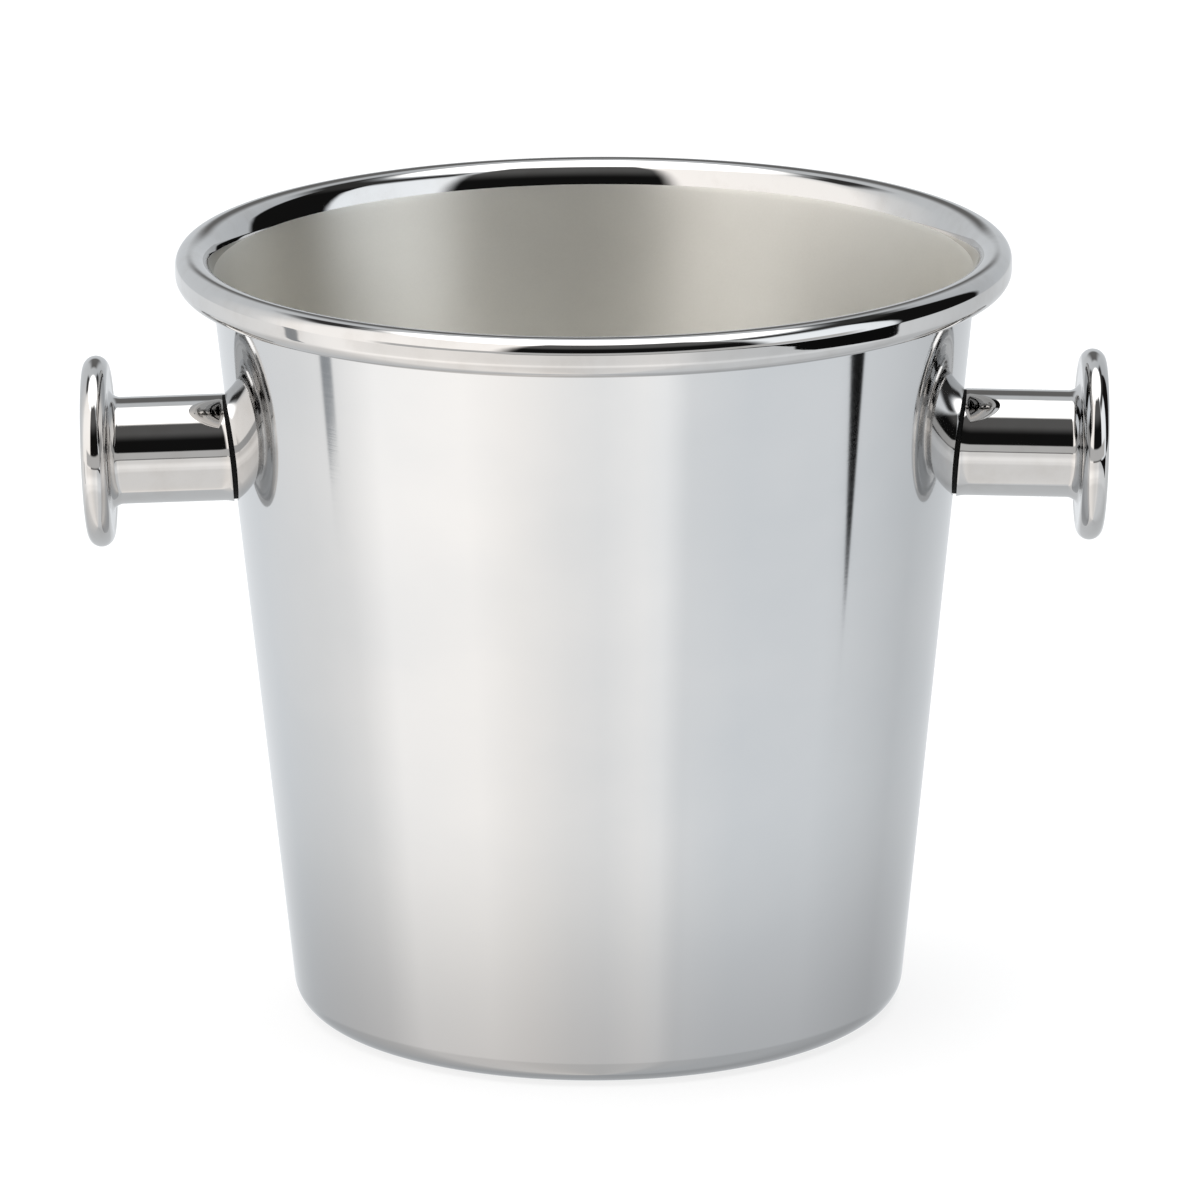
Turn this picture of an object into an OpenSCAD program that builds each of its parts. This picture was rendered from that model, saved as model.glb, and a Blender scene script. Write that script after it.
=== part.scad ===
// Champagne bucket of polished sheet steel with two fixed spool handles.
// Frame: Z up, the table is Z = 0, the bucket's axis is the Z axis and the
// handles lie along X, right at +X and left at -X. Millimetres.

/* [Bucket] */
// Height from the table to the top of the rim
body_h = 192.5; // [150:0.5:260]
// Outer diameter of the wall just under the rim bead
neck_d = 187.2; // [170:0.2:240]
// Diameter at which the wall's line would meet the table
foot_d = 151; // [110:0.5:165]
// Thickness of the sheet
sheet_t = 1; // [0.8:0.1:1.5]
// Outer radius of the edge between the wall and the base
corner_r = 7; // [4:0.5:16]
// Width of the flat ring that the bucket stands on
ring_w = 4; // [2:0.5:8]
// Height of the dished middle of the base above the table
dish_h = 2; // [1:0.25:4]

/* [Rim bead] */
// Width of the rolled bead
bead_w = 7.4; // [5:0.2:9.2]
// Height of the rolled bead
bead_h = 9.6; // [7.8:0.2:16]
// How far the bead's narrow side lies outward of the wall
lip_flare = 1.5; // [1.2:0.1:3]
// How far past its lowest point the sheet is rolled in, in degrees
curl_end = 30; // [10:5:45]

/* [Handles] */
// Height of the handles' axis below the top of the rim, where it meets the wall
handle_drop = 50.8; // [44:0.2:80]
// How far the handles point down from level, in degrees
handle_droop = 1.6; // [0:0.2:5]
// Distance from the wall to the outer end of each handle, on the handle's axis
handle_reach = 36; // [28:0.5:60]
// Diameter of the grip
grip_d = 26.4; // [22:0.2:34]
// Wall thickness of the hollow grip
grip_wall = 1.6; // [1:0.1:3]
// How much the grip widens in a slight bell at the wall
bell_rise = 0.3; // [0.1:0.1:1]
// Length of the bell on the handle's axis
bell_len = 2.4; // [1.6:0.2:4]
// Length of the root collar on the handle's axis
collar_len = 6.4; // [5:0.2:10]
// Thickness of the collar's floor, which the bolt clamps to the wall
collar_floor = 3.5; // [2.5:0.25:4.5]

/* [End discs] */
// Diameter of the end disc
disc_d = 47.2; // [40:0.2:64]
// Thickness of the disc's full round edge
disc_edge = 6.4; // [4:0.2:10]
// How far the disc's two faces are set back from its round edge
web_set = 0.2; // [0.1:0.1:1]
// Radius of the hollow between the disc and the grip
neck_fillet = 2.8; // [0.8:0.2:3.4]
// Diameter of the tapped boss inside the grip
boss_d = 12; // [10:0.5:16]
// Length of the tapped boss
boss_len = 12; // [8:0.5:15]
// Depth of the spigots that centre the grip on the disc and on the collar
spigot_len = 2.5; // [1:0.25:4]

/* [Bolts] */
// Diameter of the bolt
bolt_d = 6; // [4:0.5:8]
// Length of bolt that is screwed into the boss
bolt_grip = 9; // [5:0.5:12]
// Diameter of the bolt's domed head
head_d = 12.6; // [10:0.2:18]
// Height of the bolt's domed head
head_h = 3.8; // [2.6:0.2:6]
// Height of the straight rim below the dome
head_rim = 0.8; // [0.4:0.1:1.4]
// Width across the flats of the hexagon socket in the head
socket_af = 4; // [3:0.5:6]
// Diameter of the saddle washer
washer_d = 17; // [14:0.5:22]
// Thickness of the saddle washer on the handle's axis
washer_t = 2.6; // [2.2:0.1:4]
// Thickness of the seal ring between the collar and the wall
seal_t = 0.8; // [0.4:0.1:1.4]
// How far the seal's edge is set back from the grip's surface
seal_inset = 0.3; // [0.2:0.1:1]

/* [Fits] */
// Clearance all round where one round piece slides over another
fit_gap = 0.1; // [0.05:0.05:0.3]
// Clearance all round the bolt in the holes that it passes through
hole_gap = 0.3; // [0.1:0.1:0.6]

/* [Hidden] */
$fn = 128;
cut = 0.5; // how far a cutting shape runs past what it cuts
tap_run = 1; // how much deeper the tapped hole is than the bolt
wall_fn = 256; // facets of the wall and of the cones that fit it

// The wall is a cone between the table and the bead
neck_z = body_h - bead_h;
taper = atan((neck_d - foot_d) / 2 / neck_z);
function wall_r(z) = foot_d / 2 + z * tan(taper);
sheet_level = sheet_t / cos(taper); // the sheet's thickness measured level

// Centre of the corner arc, tangent to the table and to the wall
corner_x = wall_r(corner_r) - corner_r / cos(taper);
ring_in_r = corner_x - ring_w;

// The outer half of the bead is two quarter rounds with a short upright between them
bead_r = neck_d / 2 + lip_flare + bead_w / 2;
bead_top_z = body_h - bead_w / 2;
bead_low_z = neck_z + bead_w / 2;

// Its inner half leaves the wall in a wide arc that leans out by lip_lean degrees,
// then turns in a tighter arc to the top, all tangent
lip_lean = 30;
brow_r = 0.68 * bead_w;
brow_z = body_h - brow_r;
join_x = bead_r - brow_r * cos(lip_lean);
join_z = brow_z + brow_r * sin(lip_lean);
lip_r = (join_x - wall_r(join_z) + sheet_level)
    / (cos(taper) - cos(lip_lean) - tan(taper) * (sin(lip_lean) - sin(taper)));
lip_x = join_x + lip_r * cos(lip_lean);
lip_z = join_z - lip_r * sin(lip_lean);

// Places along a handle's axis, measured from the bucket's axis
handle_z = body_h - handle_drop;
wall_x = wall_r(handle_z);
end_x = wall_x + handle_reach;
collar_x = wall_x + collar_len;
disc_x = end_x - disc_edge;
neck_x = disc_x + web_set - neck_fillet;
boss_x = neck_x - boss_len;
bolt_tip_x = boss_x + bolt_grip;
tap_x = bolt_tip_x + tap_run;
washer_x = wall_x - sheet_level - washer_t;
grip_bore = grip_d - 2 * grip_wall;

// Where a rod as wide as the bell is sure to have reached the wall all round
bell_r = grip_d / 2 + bell_rise;
root_x = wall_x - bell_r * tan(taper) - bell_r * bell_r / wall_x;

steel = [0.80, 0.81, 0.82];
rubber = [0.20, 0.20, 0.21];

function arc(x, z, r, from, to, steps) =
    [for (i = [0:steps]) let (a = from + (to - from) * i / steps) [x + r * cos(a), z + r * sin(a)]];
function reversed(list) = [for (i = [len(list) - 1:-1:0]) list[i]];

// One face of the sheet from the middle of the base to the end of the curl:
// k = 0 is the outer face, k = sheet_t the inner one, which the curl turns
// to the outside of the bead.
function sheet_face(k) = concat(
    [[0, dish_h + k],
     [ring_in_r - dish_h + k * tan(22.5), dish_h + k],
     [ring_in_r + k * tan(22.5), k]],
    arc(corner_x, corner_r, corner_r - k, -90, -taper, 10),
    arc(lip_x, lip_z, lip_r - sheet_t + k, 180 - taper, 180 - lip_lean, 6),
    arc(bead_r, brow_z, brow_r - sheet_t + k, 172 - lip_lean, 90, 8),
    arc(bead_r, bead_top_z, bead_w / 2 - sheet_t + k, 80, 0, 8),
    arc(bead_r, bead_low_z, bead_w / 2 - sheet_t + k, 0, -90 - curl_end, 12));

// Lays a shape drawn along Z out along the right handle's axis, which meets the
// wall at the handles' height and droops outward from there
module on_handle_axis() {
    translate([wall_x, 0, handle_z]) rotate([0, 90 + handle_droop, 0]) translate([0, 0, -wall_x]) children();
}

// The left handle is the right one mirrored
module left() {
    mirror([1, 0, 0]) children();
}

// A solid cone that fills the wall out to its level distance d from the outer face
module wall_cone(d) {
    translate([0, 0, -cut])
        cylinder(r1 = wall_r(-cut) + d, r2 = wall_r(body_h + cut) + d, h = body_h + 2 * cut, $fn = wall_fn);
}

// A round rod along a handle's axis, which also serves as a drill
module axis_rod(d, from_x, to_x) {
    on_handle_axis() translate([0, 0, from_x]) cylinder(d = d, h = to_x - from_x);
}

module bucket_body() {
    hole_d = bolt_d + 2 * hole_gap;
    color(steel) difference() {
        rotate_extrude($fn = wall_fn) polygon(concat(sheet_face(0), reversed(sheet_face(sheet_t))));
        axis_rod(hole_d, washer_x, wall_x + sheet_level);
        left() axis_rod(hole_d, washer_x, wall_x + sheet_level);
    }
}

// A cup as thick as the grip, with a slight bell towards the wall and a spigot that
// centres the sleeve; its back is cut to the wall's cone, the seal's thickness off it.
module root_collar() {
    bell_arc = (bell_len * bell_len + bell_rise * bell_rise) / (2 * bell_rise);
    bell_z = wall_x + bell_len;
    color(steel) difference() {
        union() {
            on_handle_axis() rotate_extrude() polygon(concat(
                [[0, root_x], [bell_r, root_x]],
                arc(grip_d / 2 + bell_arc, bell_z, bell_arc, 180 + asin(bell_len / bell_arc), 180, 12),
                [[grip_d / 2, collar_x], [0, collar_x]]));
            axis_rod(grip_bore - 2 * fit_gap, wall_x, collar_x + spigot_len);
        }
        wall_cone(seal_t);
        axis_rod(bolt_d + 2 * hole_gap, root_x, collar_x);
        axis_rod(boss_d + 2 * hole_gap, wall_x + collar_floor, collar_x + spigot_len + cut);
    }
}

module grip_sleeve() {
    color(steel) difference() {
        axis_rod(grip_d, collar_x, neck_x);
        axis_rod(grip_bore, collar_x - cut, neck_x + cut);
    }
}

// A web with a full round edge, a hollow neck on the grip's side, a spigot in the
// sleeve and the boss that the bolt screws into.
module end_disc() {
    edge_r = disc_edge / 2;
    neck_r = grip_d / 2 + neck_fillet;
    color(steel) difference() {
        on_handle_axis() rotate_extrude() {
            translate([disc_d / 2 - edge_r, end_x - edge_r]) circle(r = edge_r, $fn = 96);
            translate([0, disc_x + web_set]) square([disc_d / 2 - edge_r, disc_edge - 2 * web_set]);
            difference() {
                translate([0, neck_x]) square([neck_r, neck_fillet + cut]);
                translate([neck_r, neck_x]) circle(r = neck_fillet, $fn = 96);
            }
            translate([0, neck_x - spigot_len]) square([grip_bore / 2 - fit_gap, spigot_len + cut]);
            translate([0, boss_x]) square([boss_d / 2, boss_len + cut]);
        }
        axis_rod(bolt_d, boss_x - cut, tap_x);
    }
}

// Domed head inside the bucket, shank through the wall and the grip into the boss
module handle_bolt() {
    head_x = washer_x - head_h;
    dome_h = head_h - head_rim;
    dome_r = (head_d * head_d / 4 + dome_h * dome_h) / (2 * dome_h);
    color(steel) difference() {
        union() {
            on_handle_axis() intersection() {
                translate([0, 0, head_x + dome_r]) sphere(r = dome_r);
                translate([0, 0, head_x]) cylinder(d = head_d, h = head_h);
            }
            axis_rod(bolt_d - 2 * fit_gap, washer_x - head_rim, bolt_tip_x);
        }
        on_handle_axis() translate([0, 0, head_x - cut])
            cylinder(d = socket_af / cos(30), h = head_h / 2 + cut, $fn = 6);
    }
}

// Flat under the bolt's head, saddle-shaped towards the wall
module bolt_washer() {
    color(steel) difference() {
        intersection() {
            axis_rod(washer_d, washer_x, wall_x);
            wall_cone(-sheet_level);
        }
        axis_rod(bolt_d + 2 * hole_gap, washer_x - cut, wall_x);
    }
}

// Thin ring that lies between the collar and the wall and keeps water out of the hole
module wall_seal() {
    color(rubber) difference() {
        intersection() {
            axis_rod(grip_d - 2 * seal_inset, root_x, collar_x);
            wall_cone(seal_t);
        }
        wall_cone(0);
        axis_rod(bolt_d + 2 * hole_gap, root_x - cut, collar_x + cut);
    }
}

bucket_body();
left() root_collar();  // root_collar_left
root_collar();  // root_collar_right
left() grip_sleeve();  // grip_sleeve_left
grip_sleeve();  // grip_sleeve_right
left() end_disc();  // end_disc_left
end_disc();  // end_disc_right
left() handle_bolt();  // handle_bolt_left
handle_bolt();  // handle_bolt_right
left() bolt_washer();  // bolt_washer_left
bolt_washer();  // bolt_washer_right
left() wall_seal();  // wall_seal_left
wall_seal();  // wall_seal_right
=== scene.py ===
# %% [markdown]
# # A polished steel champagne bucket
#
# The bucket is one drawn shell of sheet steel: mirror bright outside, satin inside, its rim
# rolled outward into a bead. A spool-shaped handle is bolted to each side. The exact solids
# come from the CAD frame, so every piece here takes its place from that frame. Blender is
# used for what the frame doesn't hold: smooth mirror surfaces, finishes and light.

# %% Load the frame
import math

import bmesh
import bpy
from mathutils import Matrix, Vector


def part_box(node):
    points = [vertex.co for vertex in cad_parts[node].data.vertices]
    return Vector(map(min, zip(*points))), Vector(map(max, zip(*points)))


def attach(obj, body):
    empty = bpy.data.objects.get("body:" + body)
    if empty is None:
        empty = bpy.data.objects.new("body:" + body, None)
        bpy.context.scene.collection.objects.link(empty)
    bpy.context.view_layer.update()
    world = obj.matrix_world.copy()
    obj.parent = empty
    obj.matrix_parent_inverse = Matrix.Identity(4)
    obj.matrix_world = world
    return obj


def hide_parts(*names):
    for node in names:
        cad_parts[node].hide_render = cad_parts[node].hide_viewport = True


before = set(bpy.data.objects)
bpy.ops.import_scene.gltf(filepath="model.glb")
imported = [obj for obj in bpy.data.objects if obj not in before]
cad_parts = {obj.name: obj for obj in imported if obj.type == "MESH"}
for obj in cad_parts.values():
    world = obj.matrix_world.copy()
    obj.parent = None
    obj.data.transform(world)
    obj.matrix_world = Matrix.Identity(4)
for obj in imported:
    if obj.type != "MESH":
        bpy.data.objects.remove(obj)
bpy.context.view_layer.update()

# %% [markdown]
# ## Sizes
#
# What a box can't tell, such as the sheet's thickness or a fillet's radius, is written here
# once, in millimetres as a drawing would give it, and turned into metres.

# %% Sizes of the shell
MM = 0.001
rim_r, rim_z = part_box("bucket_body")[1].y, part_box("bucket_body")[1].z
sheet = 1.0 * MM
bead_wide, bead_tall = 7.4 * MM, 9.6 * MM
lip_flare = 1.5 * MM
corner_r = 7.0 * MM
ring_wide = 4.0 * MM
dish = 2.0 * MM
foot_r = 75.5 * MM

bead_half = bead_wide / 2
bead_r = rim_r - bead_half
neck_r = bead_r - bead_half - lip_flare
neck_z = rim_z - bead_tall
slope = (neck_r - foot_r) / neck_z
taper = math.atan(slope)
print("taper %.2f degrees, neck radius %.1f mm" % (math.degrees(taper), neck_r / MM))


def wall_r(z):
    """Radius of the wall's outer face at height z."""
    return foot_r + z * slope


# %% Sizes of the handles
sleeve_low, sleeve_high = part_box("grip_sleeve_right")
disc_low, disc_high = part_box("end_disc_right")
grip_r = (sleeve_high.y - sleeve_low.y) / 2
disc_r = (disc_high.y - disc_low.y) / 2
droop = math.radians(1.6)
grip_wall = 1.6 * MM
bell_rise, bell_long = 0.3 * MM, 2.4 * MM
seal = 0.8 * MM
fillet_r = 2.8 * MM
disc_edge = 6.4 * MM
web_set = 0.2 * MM
boss_r, boss_long = 6.0 * MM, 12.0 * MM
tap_r, tap_deep = 3.0 * MM, 10.0 * MM
spigot = 2.5 * MM
fit_gap = 0.1 * MM
bolt_hole_r = 3.3 * MM
collar_floor = 3.5 * MM

# %% Where the right handle's axis meets the wall
# The axis runs down and outward through the middle of the sleeve. Distances along a handle
# start at the wall.
middle = (sleeve_low + sleeve_high) / 2
half_long = ((sleeve_high.x - sleeve_low.x) / 2 - grip_r * math.sin(droop)) / math.cos(droop)
from_wall = (middle.x - wall_r(middle.z)) / (math.cos(droop) + slope * math.sin(droop))
root = Vector((middle.x - from_wall * math.cos(droop), 0, middle.z + from_wall * math.sin(droop)))
collar_at, neck_at = from_wall - half_long, from_wall + half_long
web_at = neck_at + fillet_r
end_at = web_at - web_set + disc_edge
print("handle root %.1f mm up, %.1f mm long" % (root.z / MM, end_at / MM))
print("grip %.1f mm across" % (2 * grip_r / MM))

# %% [markdown]
# ## Drawing a half section
#
# Every large piece of the bucket is round, so it is drawn as a half section and turned about
# its axis, as a spinner or a lathe makes it. The pen below draws the section with two bmesh
# operators: extruding a vertex gives a straight line, and spinning it gives an arc. A mirror
# finish shows every flat spot, so arcs get many short steps.

# %% The pen
STEP = math.radians(4)


class Pen:
    """Draws a half section in the XZ plane."""

    def __init__(self, x, z):
        self.bm = bmesh.new()
        self.start = self.tip = self.bm.verts.new((x, 0, z))

    def line(self, x, z, parts=1):
        here = self.tip.co.copy()
        for i in range(parts):
            self.tip = bmesh.ops.extrude_vert_indiv(self.bm, verts=[self.tip])["verts"][0]
            self.tip.co = here.lerp(Vector((x, 0, z)), (i + 1) / parts)
        return self

    def arc(self, x, z, degrees):
        turn = math.radians(degrees)
        last = bmesh.ops.spin(
            self.bm, geom=[self.tip], cent=(x, 0, z), axis=(0, -1, 0),
            angle=turn, steps=max(2, round(abs(turn) / STEP)),
        )["geom_last"]
        self.tip = [g for g in last if isinstance(g, bmesh.types.BMVert)][0]
        return self

    def close(self):
        self.bm.edges.new((self.tip, self.start))
        return self


# %% Turning a section into a piece
CREASE = math.radians(28)


def turned(pen, axis, steps):
    """Spins the pen's section once round an axis through the origin and closes the poles."""
    bm = pen.bm
    bmesh.ops.spin(
        bm, geom=bm.verts[:] + bm.edges[:], cent=(0, 0, 0), axis=axis,
        angle=2 * math.pi, steps=steps, use_merge=True,
    )
    bmesh.ops.remove_doubles(bm, verts=bm.verts[:], dist=1e-6)
    bmesh.ops.dissolve_degenerate(bm, edges=bm.edges[:], dist=1e-7)
    return bm


def finished(bm, name, slot, stands_for, materials):
    """Makes a named object of a closed bmesh, shaded softly between its creases."""
    bmesh.ops.recalc_face_normals(bm, faces=bm.faces[:])
    for face in bm.faces:
        face.smooth = True
    for edge in bm.edges:
        edge.smooth = len(edge.link_faces) == 2 and edge.calc_face_angle() < CREASE
    open_edges = sum(len(edge.link_faces) != 2 for edge in bm.edges)
    volume = bm.calc_volume(signed=True)
    mesh = bpy.data.meshes.new(name)
    bm.to_mesh(mesh)
    bm.free()
    piece = bpy.data.objects.new(name, mesh)
    bpy.context.scene.collection.objects.link(piece)
    for material in materials:
        mesh.materials.append(material)
    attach(piece, "root")
    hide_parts(stands_for)
    triangles = sum(len(p.vertices) - 2 for p in mesh.polygons)
    print("%s: %d triangles, %.1f cm3, %d open edges" % (name, triangles, volume * 1e6, open_edges))
    return piece


# %% [markdown]
# ## Writing a finish as arithmetic
#
# Finishes here are numbers that vary over the surface. The class below wraps one output
# socket of a node tree, so that `0.05 + 0.03 * lines` adds the Math nodes by itself. Any
# other node comes from `node`, which takes its type, then its settings, then its inputs.

# %% The socket wrapper
class Wire:
    """One output socket, ready for arithmetic."""

    def __init__(self, tree, socket=None):
        self.tree, self.socket = tree, socket

    def node(self, kind, settings=None, inputs=None, out=0):
        made = self.tree.nodes.new(kind)
        for key, value in (settings or {}).items():
            if key == "stops":
                ramp = made.color_ramp
                while len(ramp.elements) < len(value):
                    ramp.elements.new(1.0)
                for element, (place, colour) in zip(ramp.elements, value):
                    element.position, element.color = place, colour
            else:
                setattr(made, key, value)
        for key, value in (inputs or {}).items():
            if isinstance(value, Wire):
                self.tree.links.new(value.socket, made.inputs[key])
            else:
                made.inputs[key].default_value = value
        return Wire(self.tree, made.outputs[out])

    def math(self, operation, *values):
        return self.node("ShaderNodeMath", {"operation": operation}, dict(enumerate(values)))

    def __add__(self, other):
        return self.math("ADD", self, other)

    def __sub__(self, other):
        return self.math("SUBTRACT", self, other)

    def __rsub__(self, other):
        return self.math("SUBTRACT", other, self)

    def __mul__(self, other):
        return self.math("MULTIPLY", self, other)

    def __truediv__(self, other):
        return self.math("DIVIDE", self, other)

    def __neg__(self):
        return self.math("MULTIPLY", self, -1.0)

    __radd__, __rmul__ = __add__, __mul__

    def rise(self, low, high, start=0.0, end=1.0):
        """Goes smoothly from start to end as the value goes from low to high."""
        return self.node(
            "ShaderNodeMapRange", {"interpolation_type": "SMOOTHSTEP"},
            {"Value": self, "From Min": low, "From Max": high, "To Min": start, "To Max": end},
        )

    def within(self, low, high, soft):
        """1 between low and high, 0 outside, with soft edges."""
        return self.rise(low - soft, low + soft) * self.rise(high - soft, high + soft, 1.0, 0.0)


# %% Colour helpers
def grey(value, blue=0.0):
    """A near-neutral colour, cooler where blue is above 0."""
    return (value * (1 - blue), value, value * (1 + blue), 1.0)


def blend(a, b, factor):
    """Mixes colours a and b; any of the three may be a Wire."""
    anchor = next(v for v in (factor, a, b) if isinstance(v, Wire))
    return anchor.node("ShaderNodeMix", {"data_type": "RGBA"}, {0: factor, 6: a, 7: b}, out=2)


def tinted(a, b):
    """Colour a multiplied by colour b, which may be a Wire."""
    settings = {"data_type": "RGBA", "blend_type": "MULTIPLY"}
    return a.node("ShaderNodeMix", settings, {0: 1.0, 6: a, 7: b}, out=2)


def paint(tree, shader, **wires):
    """Links each Wire to the shader's socket of that name."""
    for socket, wire in wires.items():
        tree.links.new(wire.socket, shader.inputs[socket.replace("_", " ")])


# %% Starting a material
def new_finish(name, **constants):
    """A material with a Principled shader whose constant sockets are set directly."""
    material = bpy.data.materials.new(name)
    material.use_nodes = True
    tree = material.node_tree
    shader = tree.nodes["Principled BSDF"]
    for socket, value in constants.items():
        shader.inputs[socket.replace("_", " ")].default_value = value
    place = Wire(tree).node("ShaderNodeTexCoord", out="Object")
    return material, tree, shader, place


def noise(place, scale, detail=2.0):
    """Even noise of `scale` cells a metre."""
    return place.node("ShaderNodeTexNoise", {}, {"Vector": place, "Scale": scale, "Detail": detail})


def stretched_noise(place, across, along, detail=2.0, offset=0.0):
    """Noise drawn out level: `across` cells a metre up the Z axis, `along` round it."""
    moved = place.node("ShaderNodeMapping", {}, {
        "Vector": place, "Location": (offset, 0, 0), "Scale": (along, along, across),
    })
    return noise(moved, 1.0, detail)


def bumped(height, strength, distance):
    """A normal bent by the height Wire."""
    return height.node("ShaderNodeBump", {}, {
        "Strength": strength, "Distance": distance, "Height": height,
    })


# %% [markdown]
# ## The finishes
#
# The outside was spun and then buffed on a wheel, so it is a mirror with very fine level
# lines that only show as a faint softness. The handles were buffed harder and have none.
# The inside was left satin, rubbed round and round. Lines and smudges change the roughness,
# and a very weak bump bends the reflection as real sheet does. Toward the base the steel is
# painted darker, because there a real bucket mirrors the shaded floor round itself.

# %% Buffed outside
buffed_wall, tree, shader, place = new_finish("buffed_wall", Metallic=1.0)
lines = stretched_noise(place, 2600.0, 9.0, detail=3.0)
smudge = stretched_noise(place, 26.0, 18.0, detail=4.0, offset=3.0)
split = place.node("ShaderNodeSeparateXYZ", {}, {"Vector": place})
height = Wire(tree, split.socket.node.outputs["Z"])
unshaded_tone = blend(grey(0.64, 0.004), grey(0.615, 0.012), smudge.rise(0.3, 0.7))
# Painted reflection of shade: the base colour darkens toward the base, standing for the shaded
# floor that a real bucket mirrors there.
paint(
    tree, shader,
    Roughness=0.035 + 0.03 * lines + smudge.rise(0.45, 0.75) * 0.025,
    Base_Color=blend(grey(0.415), unshaded_tone, height.rise(-5 * MM, 75 * MM)),
    Normal=bumped(lines, 0.05, 0.02 * MM),
)

# %% Mirror bead and handles
mirror_steel, tree, shader, place = new_finish("mirror_steel", Metallic=1.0)
smear, ripple = noise(place, 140.0, 4.0), noise(place, 260.0, 1.0)
paint(
    tree, shader,
    Roughness=0.02 + smear.rise(0.45, 0.8) * 0.05,
    Base_Color=blend(grey(0.63, -0.015), grey(0.59, -0.025), smear.rise(0.4, 0.75)),
    Normal=bumped(ripple, 0.06, 0.1 * MM),
)

# %% Satin inside
satin_inside, tree, shader, place = new_finish(
    "satin_inside", Metallic=1.0, Anisotropic=0.75, Anisotropic_Rotation=0.25
)
rubbed = stretched_noise(place, 1500.0, 14.0, detail=4.0)
grain, patch = noise(place, 1700.0, 2.0), noise(place, 22.0, 3.0)
BRIGHT_SATIN, DULL_SATIN = (0.93, 0.915, 0.87, 1), (0.84, 0.825, 0.78, 1)
paint(
    tree, shader,
    Roughness=0.36 + 0.10 * rubbed + 0.06 * grain,
    Base_Color=blend(BRIGHT_SATIN, DULL_SATIN, patch.rise(0.35, 0.7) * 0.6 + grain * 0.4),
    Normal=bumped(0.6 * rubbed + 0.4 * grain, 0.35, 0.05 * MM),
)

# %% Bolt steel and seal rubber
bolt_steel, tree, shader, place = new_finish("bolt_steel", Metallic=1.0)
scuff = noise(place, 900.0, 3.0)
paint(tree, shader, Roughness=0.20 + 0.15 * scuff, Base_Color=blend(grey(0.74), grey(0.62), scuff))

seal_rubber, tree, shader, place = new_finish("seal_rubber", Specular_IOR_Level=0.2)
pores = noise(place, 2500.0, 3.0)
paint(tree, shader, Roughness=0.6 + 0.25 * pores, Base_Color=blend(grey(0.004), grey(0.009), pores))
print("finishes:", ", ".join(m.name for m in bpy.data.materials))

# %% [markdown]
# ## The shell
#
# The real shell is one sheet: the base is dished up a little so that it stands on a ring,
# the wall leans outward, and the rim is rolled over into a hollow bead. So the section is
# drawn as one loop: out along the outer face, round the bead, and back along the inner face.

# %% Draw the sheet's section
level = sheet / math.cos(taper)
corner_x = wall_r(corner_r) - corner_r / math.cos(taper)
ring_in = corner_x - ring_wide
bead_top, bead_low = rim_z - bead_half, neck_z + bead_half
fold = sheet * math.tan(math.radians(22.5))
turn_out = 90 - math.degrees(taper)
CURL = 30
WALL_ROWS, BASE_ROWS, SHELL_STEPS = 44, 6, 288

# The bead's inner side leaves the wall in a wide arc, leans out to LEAN, then turns
# tighter to the top.
LEAN = 30
BROW_SHARE = 0.68
brow_r = BROW_SHARE * bead_wide
brow_z = rim_z - brow_r
lean_cos, lean_sin = math.cos(math.radians(LEAN)), math.sin(math.radians(LEAN))
join_x, join_z = bead_r - brow_r * lean_cos, brow_z + brow_r * lean_sin
lip_r = (join_x - wall_r(join_z) + level) / (
    math.cos(taper) - lean_cos - slope * (lean_sin - math.sin(taper))
)
lip_x, lip_z = join_x + lip_r * lean_cos, join_z - lip_r * lean_sin
lip_turn = LEAN - math.degrees(taper)
print("lip arc radius %.1f mm" % (lip_r / MM))

pen = Pen(0, dish)
pen.line(ring_in - dish, dish, BASE_ROWS).line(ring_in, 0).line(corner_x, 0, 2)
pen.arc(corner_x, corner_r, turn_out)
hidden_r = lip_r - sheet
pen.line(lip_x - hidden_r * math.cos(taper), lip_z + hidden_r * math.sin(taper), WALL_ROWS)
pen.arc(lip_x, lip_z, -lip_turn).arc(bead_r, brow_z, LEAN - 90).arc(bead_r, bead_top, -90)
pen.line(bead_r + bead_half - sheet, bead_low)
pen.arc(bead_r, bead_low, -90 - CURL)
end = math.radians(-90 - CURL)
pen.line(bead_r + bead_half * math.cos(end), bead_low + bead_half * math.sin(end))
pen.arc(bead_r, bead_low, 90 + CURL)
pen.line(bead_r + bead_half, bead_top, 3)
pen.arc(bead_r, bead_top, 90).arc(bead_r, brow_z, 90 - LEAN).arc(lip_x, lip_z, lip_turn)
inner_r = corner_r - sheet
pen.line(
    corner_x + inner_r * math.cos(taper), corner_r - inner_r * math.sin(taper), WALL_ROWS
)
pen.arc(corner_x, corner_r, -turn_out)
pen.line(ring_in + fold, sheet, 2).line(ring_in - dish + fold, dish + sheet)
pen.line(0, dish + sheet, BASE_ROWS)

# %% Spin it and tell the inside from the outside
def on_inner_face(r, z):
    """Whether a point of the sheet is on its inner face, which is left satin."""
    if z > corner_r:
        return r < wall_r(z) - level / 2
    if r > corner_x:
        return math.hypot(r - corner_x, z - corner_r) < corner_r - sheet / 2
    return z > min(max(ring_in - r, 0), dish) + sheet / 2


BUFFED, MIRROR, SATIN = range(3)
shell = turned(pen, (0, 0, 1), SHELL_STEPS)
polish_z = rim_z - 6.1 * MM
for face in shell.faces:
    middle = face.calc_center_median()
    r, z = math.hypot(middle.x, middle.y), middle.z
    if z > polish_z or r > wall_r(z) + sheet:
        face.material_index = MIRROR
    elif on_inner_face(r, z):
        face.material_index = SATIN
    else:
        face.material_index = BUFFED
finishes = [buffed_wall, mirror_steel, satin_inside]
finished(shell, "bucket_shell", "polished_steel", "bucket_body", finishes)

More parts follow.
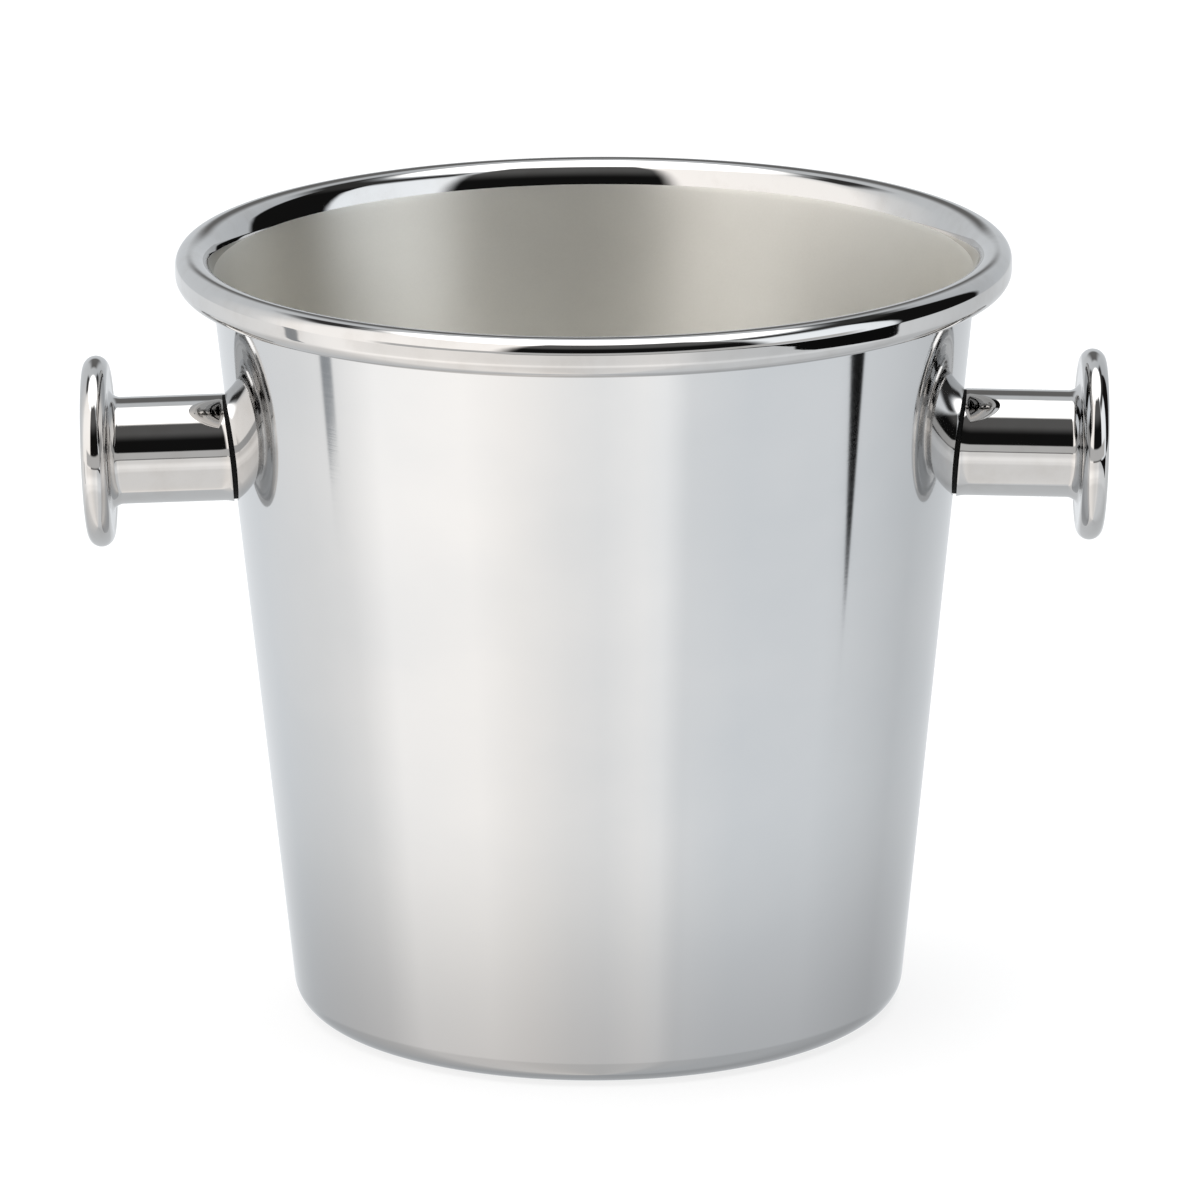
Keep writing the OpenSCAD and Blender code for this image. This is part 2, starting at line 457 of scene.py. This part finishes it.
# %% [markdown]
# ## The handles
#
# Each handle is three turned pieces on one bolt: a collar that is cut to the wall's curve, a
# tube for the fingers and an end disc with a round edge. They are drawn with X along the
# handle from the wall, turned about X, then tipped to the handle's slight droop and moved to
# its root. The left side is a mirror image of the right.

# %% Place a turned handle piece on each side
HANDLE_STEPS = 160
HAIR = 0.01 * MM


def both_sides(draw, name, node):
    """Makes the right and the left piece from a function that draws one."""
    tip_down = Matrix.Rotation(droop, 3, "Y")
    for side, sign in (("right", 1), ("left", -1)):
        bm = draw()
        bmesh.ops.rotate(bm, verts=bm.verts[:], cent=(0, 0, 0), matrix=tip_down)
        bmesh.ops.translate(bm, verts=bm.verts[:], vec=root)
        bmesh.ops.scale(bm, verts=bm.verts[:], vec=(sign, 1, 1))
        names = name + "_" + side, "polished_steel", node + "_" + side
        finished(bm, *names, [mirror_steel])


# %% Root collar
def wall_ahead(y, up):
    """How far along the handle's axis the seal's outer face is, at this place across the axis."""
    along = 0.0
    for _ in range(4):
        z = root.z - along * math.sin(droop) + up * math.cos(droop)
        x = math.sqrt((wall_r(z) + seal) ** 2 - y**2)
        along = (x - root.x - up * math.sin(droop)) / math.cos(droop)
    return along


def bell_r(along):
    """The collar's radius at this distance from the wall."""
    curve = (bell_long**2 + bell_rise**2) / (2 * bell_rise)
    back = min(bell_long, max(0.0, bell_long - along))
    return grip_r + curve - math.sqrt(curve**2 - back**2)


def draw_collar():
    """A turned collar whose back is then moved to the wall and whose edge is belled."""
    spigot_r, bore_r = grip_r - grip_wall - fit_gap, boss_r + 3 * fit_gap
    pen = Pen(0, bolt_hole_r)
    pen.line(0, grip_r, 8).line(bell_long, grip_r, 14)
    pen.line(collar_at, grip_r, 3).line(collar_at, spigot_r)
    pen.line(collar_at + spigot, spigot_r).line(collar_at + spigot, bore_r)
    pen.line(collar_floor, bore_r).line(collar_floor, bolt_hole_r).close()
    bm = turned(pen, (1, 0, 0), HANDLE_STEPS)
    for vert in bm.verts:
        x, y, up = vert.co
        reach = math.hypot(y, up)
        if reach < grip_r - HAIR and x < HAIR:
            vert.co.x = wall_ahead(y, up)
        elif reach > grip_r - HAIR and x < bell_long:
            foot = wall_ahead(y, up)
            along = foot + (bell_long - foot) * x / bell_long
            grow = bell_r(along) / reach
            vert.co = (along, y * grow, up * grow)
    return bm


both_sides(draw_collar, "fitted_collar", "root_collar")


# %% Finger tube
def draw_tube():
    """A plain tube."""
    inner = grip_r - grip_wall
    pen = Pen(collar_at, inner).line(neck_at, inner, 4).line(neck_at, grip_r)
    pen.line(collar_at, grip_r, 12).close()
    return turned(pen, (1, 0, 0), HANDLE_STEPS)


both_sides(draw_tube, "finger_tube", "grip_sleeve")


# %% End disc
def draw_disc():
    """A disc with a round edge, a neck fillet, a spigot and a tapped boss."""
    half = disc_edge / 2
    round_r, mid_at = disc_r - half, end_at - half
    lean = math.degrees(math.acos((half - web_set) / half))
    spigot_r = grip_r - grip_wall - fit_gap
    boss_at = neck_at - boss_long
    pen = Pen(end_at - web_set, 0)
    pen.line(end_at - web_set, round_r - half * math.sin(math.radians(lean)), 10)
    pen.arc(mid_at, round_r, 180 + 2 * lean)
    pen.line(web_at, grip_r + fillet_r, 3)
    pen.arc(neck_at, grip_r + fillet_r, -90)
    pen.line(neck_at, spigot_r).line(neck_at - spigot, spigot_r).line(neck_at - spigot, boss_r)
    pen.line(boss_at, boss_r).line(boss_at, tap_r)
    pen.line(boss_at + tap_deep, tap_r).line(boss_at + tap_deep, 0)
    return turned(pen, (1, 0, 0), HANDLE_STEPS)


both_sides(draw_disc, "end_disc_turned", "end_disc")

# %% Bolts, washers and seals keep their CAD shapes
KEPT = {"handle_bolt": bolt_steel, "bolt_washer": bolt_steel, "wall_seal": seal_rubber}
for node_name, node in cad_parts.items():
    finish = KEPT.get(node_name.rsplit("_", 1)[0])
    if finish:
        node.data.materials.clear()
        node.data.materials.append(finish)
        print(node_name, "finished with", finish.name)

# %% [markdown]
# ## The studio
#
# Polished steel has no look of its own: it shows the room. The room here is a white tent
# with a bright roof, a dark opening on the side that the viewer stands on, a dark gap at
# the right and a pale table. It is written as one function of direction, by azimuth round
# the bucket and elevation above the horizon. What the viewer sees behind is plain white.
# Blends are soft over a few degrees, so each pair below gives where one starts and ends.

# %% Direction as azimuth and elevation
world = bpy.data.worlds.new("studio")
bpy.context.scene.world = world
world.use_nodes = True
tree = world.node_tree
tree.nodes.clear()
sky = Wire(tree)
direction = sky.node("ShaderNodeTexCoord", out="Generated")
split = direction.node("ShaderNodeSeparateXYZ", {}, {"Vector": direction})
dx, dy, dz = (Wire(tree, split.socket.node.outputs[i]) for i in range(3))
TO_DEGREES = 180 / math.pi
azimuth = sky.math("ARCTAN2", dx, -dy) * TO_DEGREES
elevation = sky.math("ARCSINE", dz) * TO_DEGREES


def round_about(*stops):
    """A colour ramp over the azimuth; each stop is its degrees, its grey and its blueness."""
    ramp = [(degrees / 360.0 + 0.5, grey(*tone)) for degrees, *tone in stops]
    return sky.node("ShaderNodeValToRGB", {"stops": ramp}, {"Fac": azimuth / 360.0 + 0.5})


# %% Tent walls and roof
# In degrees: azimuth 0 is toward the viewer and grows to the right, elevation 0 is level.
OPENING, OPENING_TOP = (-25, 47), (66, 74)
RIGHT_GAP, RIGHT_GAP_TOP = (90, 128), (50, 60)
FRAME_HIGH, FRAME_LEFT, FRAME_RIGHT = (44, 58), (-142, -105), (50, 150)
BACK_GAP, BACK_HIGH = (-165, 165), (15, 44)
ROOF_EDGE, ROOF_LIGHT = (58, 64), grey(1.7)
BLACK = grey(0.006)

walls = round_about(
    (-180, 0.50, 0.04), (-130, 0.55, 0.04), (-105, 0.68, 0.01), (-90, 0.95, -0.02),
    (-28, 1.0, -0.03), (50, 0.95, 0.04), (85, 0.90, 0.05), (130, 0.45, 0.05), (180, 0.50, 0.04),
)
front_dark = azimuth.within(*OPENING, 4.0) * elevation.rise(*OPENING_TOP, 1.0, 0.0)
right_dark = azimuth.within(*RIGHT_GAP, 2.0) * elevation.rise(*RIGHT_GAP_TOP, 1.0, 0.0)
frame_sides = azimuth.within(*FRAME_LEFT, 5.0) + azimuth.within(*FRAME_RIGHT, 6.0)
frame_dark = elevation.within(*FRAME_HIGH, 5.0) * frame_sides
back_dark = (1.0 - azimuth.within(*BACK_GAP, 8.0)) * elevation.within(*BACK_HIGH, 4.0)
front_shade = blend(BLACK, grey(0.09), elevation.rise(30, 50))
upper = blend(walls, front_shade, front_dark)
upper = blend(upper, BLACK, right_dark)
upper = blend(upper, grey(0.03), frame_dark)
upper = blend(upper, grey(0.12), back_dark)
roof = elevation.rise(*ROOF_EDGE) * (1.0 - front_dark)
upper = blend(upper, ROOF_LIGHT, roof)

# %% Table, as the steel sees it
TABLE_EDGE = (-9.0, -7.0)
BACKDROP, BACKDROP_HIGH = (-60, 75), (-6.5, 7.7)
ROOM_POWER = 1.42

table = round_about(
    (-180, 0.60, 0.03), (-140, 0.62, 0.03), (-105, 0.71), (-88, 0.78, -0.01),
    (-72, 0.95, -0.02), (-42, 0.97, -0.03), (-26, 0.89, -0.03), (-10, 0.82, -0.015),
    (2, 0.80, -0.005), (15, 0.86, -0.01), (22, 0.85), (30, 0.71, 0.015), (50, 0.67, 0.03),
    (82, 0.66, 0.03), (108, 0.58, 0.03), (125, 0.52, 0.03), (180, 0.56, 0.03),
)
around = sky.math("COSINE", azimuth / TO_DEGREES)
depth = elevation - 3.5 * (1.0 - around)
right_half = azimuth.rise(24, 34)
near = depth.rise(-29.0, -25.0, 0.95, 1.04) * (1.0 - right_half) + 1.02 * right_half
far_shade = 1.0 - 0.2 * azimuth.within(-70, 80, 10.0) * elevation.rise(-22, -13)
near = near * far_shade * depth.rise(-37, -31, 0.86, 1.0)
near_colour = sky.node("ShaderNodeCombineXYZ", {}, {0: near, 1: near, 2: near})
table_light = tinted(table, near_colour)

# Two thin dark slits: a wedge that narrows downward at the right and a bar at the left.
wedge = azimuth + 3.6 * (elevation + 23.1)
slit_right = wedge.rise(89.9, 90.7) * azimuth.rise(91.0, 92.2, 1.0, 0.0)
slit_right = slit_right * elevation.rise(-23.2, -22.9)
slit_left = azimuth.within(-93.3, -88.5, 0.8) * elevation.rise(-22.15, -21.9)
lower = blend(table_light, grey(0.004), slit_right)
lower = blend(lower, grey(0.27, 0.05), slit_left)

room = blend(lower, upper, elevation.rise(*TABLE_EDGE))
backdrop = azimuth.within(*BACKDROP, 5.0) * elevation.within(*BACKDROP_HIGH, 1.5)
room = blend(room, grey(0.44), backdrop)
bright = tinted(room, grey(ROOM_POWER))

# %% What the viewer sees is plain
path = sky.node("ShaderNodeLightPath", out="Is Camera Ray")
seen = blend(bright, grey(1.0), path)
background = sky.node("ShaderNodeBackground", {}, {"Color": seen, "Strength": 1.0})
output = tree.nodes.new("ShaderNodeOutputWorld")
tree.links.new(background.socket, output.inputs["Surface"])
print("studio nodes:", len(tree.nodes))

# %% Floor
FLOOR_R = 6.0
bm = bmesh.new()
bmesh.ops.create_circle(bm, cap_ends=True, segments=96, radius=FLOOR_R)
floor_mesh = bpy.data.meshes.new("floor")
bm.to_mesh(floor_mesh)
bm.free()
floor = bpy.data.objects.new("floor", floor_mesh)
bpy.context.scene.collection.objects.link(floor)
paper, tree, shader, place = new_finish(
    "pale_paper", Roughness=0.9, Emission_Color=grey(1.0), Emission_Strength=0.78
)
paint(tree, shader, Base_Color=blend(grey(0.20), grey(0.22), noise(place, 3.0)))
floor_mesh.materials.append(paper)
floor.visible_glossy = False
print("floor:", len(floor_mesh.polygons), "face")

# %% Lamps
def lamp(name, place, aim, size, power):
    """A round soft lamp that lights the piece and isn't seen in it."""
    data = bpy.data.lights.new(name, "AREA")
    data.shape, data.size, data.energy = "DISK", size, power
    made = bpy.data.objects.new(name, data)
    made.location = place
    made.rotation_euler = (Vector(aim) - Vector(place)).to_track_quat("-Z", "Y").to_euler()
    made.visible_glossy = False
    made.visible_camera = False
    bpy.context.scene.collection.objects.link(made)


lamp("overhead", place=(0, 0.2, 2.6), aim=(0, 0, 0), size=3.0, power=60)

# %% [markdown]
# ## The camera
#
# A long lens from two metres away and a little above keeps the rim's ellipse and the wall's
# taper honest.

# %% Camera
DISTANCE, HEIGHT, AIM = 2.0, 0.65, 0.1018
ROLL = math.radians(-0.41)
data = bpy.data.cameras.new("camera")
data.lens, data.sensor_width, data.shift_x = 251.0, 36.0, 0.0034
data.clip_start, data.clip_end = 0.05, 50.0
camera = bpy.data.objects.new("camera", data)
camera.location = (0, -DISTANCE, HEIGHT)
look = (Vector((0, 0, AIM)) - camera.location).to_track_quat("-Z", "Y")
camera.rotation_mode = "QUATERNION"
camera.rotation_quaternion = (look.to_matrix() @ Matrix.Rotation(ROLL, 3, "Z")).to_quaternion()
bpy.context.scene.collection.objects.link(camera)
bpy.context.scene.camera = camera
bpy.context.scene.view_settings.view_transform = "Standard"
print("camera %.2f m from the bucket's foot" % camera.location.length)
